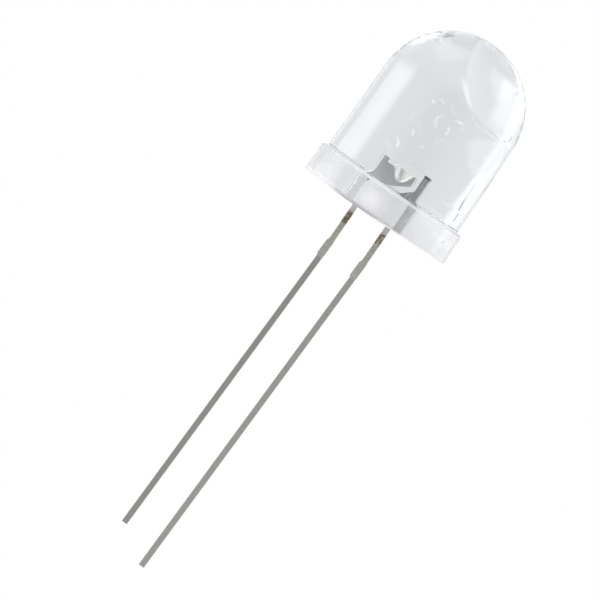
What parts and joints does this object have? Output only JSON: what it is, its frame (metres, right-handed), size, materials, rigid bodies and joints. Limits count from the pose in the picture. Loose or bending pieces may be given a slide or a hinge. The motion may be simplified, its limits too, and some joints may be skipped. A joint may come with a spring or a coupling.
{
  "type": "through-hole led",
  "caption": "Round clear epoxy LED with a flange and a domed lens, on two long straight leads of unequal length.",
  "frame": {"origin": "centre of the flat underside of the flange, on the axis of the round body", "axes": "+Z along the optical axis to the top of the dome, -X to the shorter lead, +X to the longer lead"},
  "size_m": [0.0108, 0.0108, 0.0404],
  "materials": {
    "clear_epoxy": "clear cast epoxy, glossy, a little hazy on the flange",
    "tinned_frame": "satin tin over steel, with fine lengthwise streaks",
    "silver_adhesive": "matte, silver filled",
    "chip": "sawn crystal with a metal pad on top",
    "gold_wire": "bright gold"
  },
  "bodies": {
    "root": {"lens_body": "clear_epoxy", "cathode_lead": "tinned_frame", "anode_lead": "tinned_frame", "die_attach": "silver_adhesive", "led_chip": "chip", "bond_wire": "gold_wire"}
  },
  "joints": []
}
